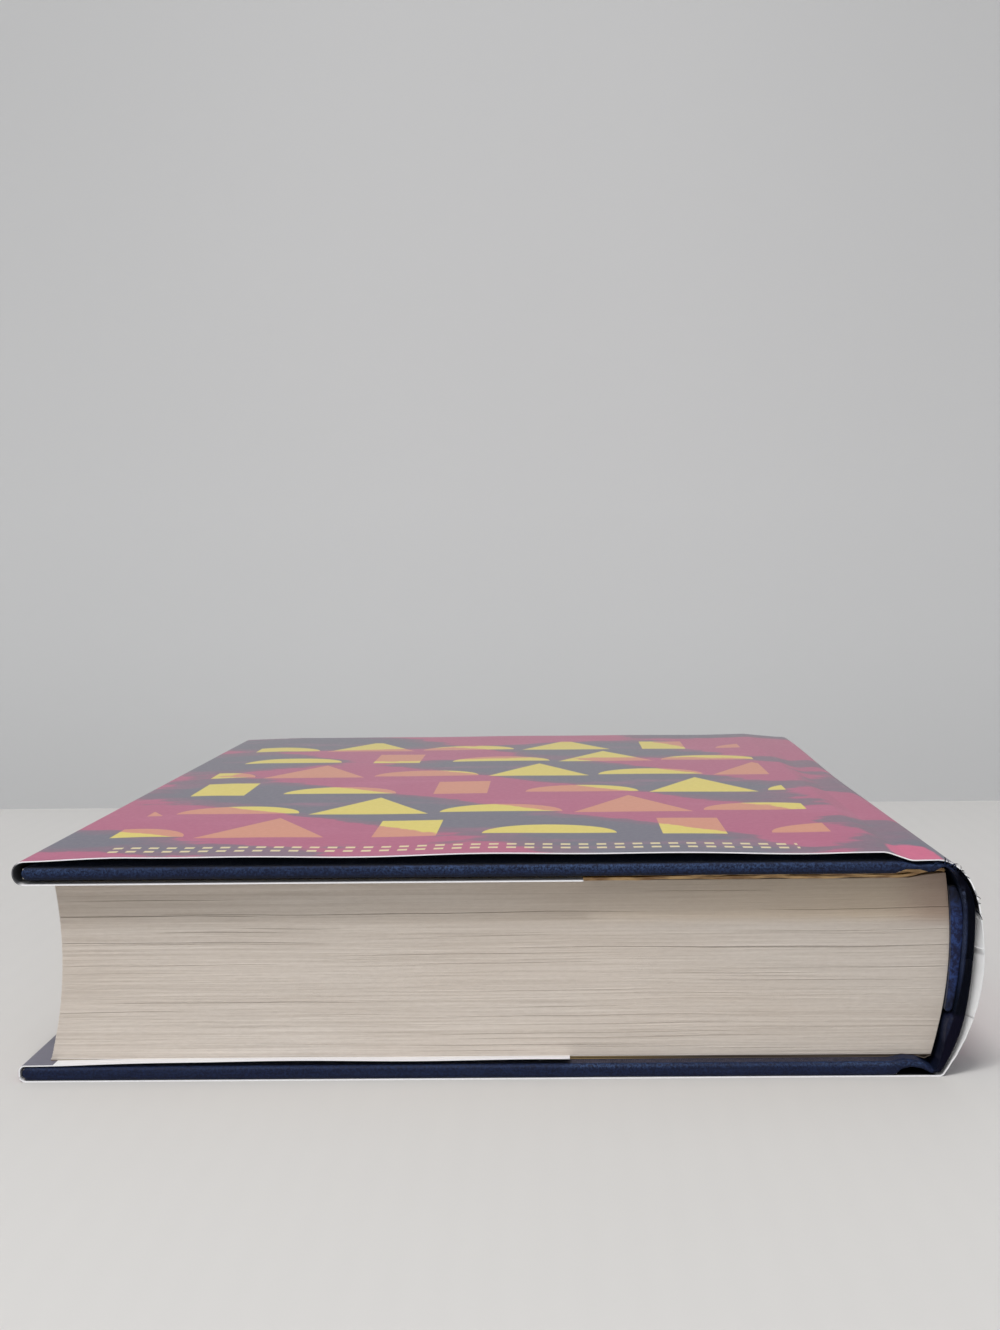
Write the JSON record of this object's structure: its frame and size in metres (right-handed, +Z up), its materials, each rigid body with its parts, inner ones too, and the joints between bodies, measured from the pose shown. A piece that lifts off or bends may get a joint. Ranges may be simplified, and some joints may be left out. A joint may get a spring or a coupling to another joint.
{
  "type": "hardcover book",
  "caption": "Closed case-bound book in a paper jacket, with boards, cloth, endpapers, headbands and covers that open.",
  "frame": {"origin": "under the middle of the closed book, on the surface that its back cover lies on", "axes": "+Z up through the front cover, +X towards the spine, +Y from head to tail"},
  "size_m": [0.163, 0.236, 0.038],
  "materials": {
    "page_paper": "matte uncoated",
    "endpaper": "matte, dyed ochre",
    "gauze": "open weave, glued",
    "lining_paper": "matte kraft",
    "band_cotton": "woven, matte",
    "spine_card": "matte",
    "binders_board": "matte",
    "book_cloth": "fine weave, matte",
    "jacket_paper": "satin coated, printed outside, white inside"
  },
  "bodies": {
    "book_block": {"text_block": "page_paper", "front_flyleaf": "endpaper", "back_flyleaf": "endpaper", "spine_mull": "gauze", "spine_lining": "lining_paper", "headband": "band_cotton", "tailband": "band_cotton", "spine_inlay": "spine_card", "cover_cloth_spine": "book_cloth", "jacket_spine": "jacket_paper"},
    "front_cover": {"front_board": "binders_board", "cover_cloth_front": "book_cloth", "front_pastedown": "endpaper", "jacket_front": "jacket_paper"},
    "back_cover": {"back_board": "binders_board", "cover_cloth_back": "book_cloth", "back_pastedown": "endpaper", "jacket_back": "jacket_paper"}
  },
  "joints": [
    {"name": "front_cover_hinge", "type": "hinge", "parent": "book_block", "child": "front_cover", "pos_m": [0.0748, 0, 0.03665], "axis": [0, 1, 0], "range_deg": [0, 175]},
    {"name": "back_cover_hinge", "type": "hinge", "parent": "book_block", "child": "back_cover", "pos_m": [0.074, 0, 0.00145], "axis": [0, -1, 0], "range_deg": [0, 175]}
  ]
}
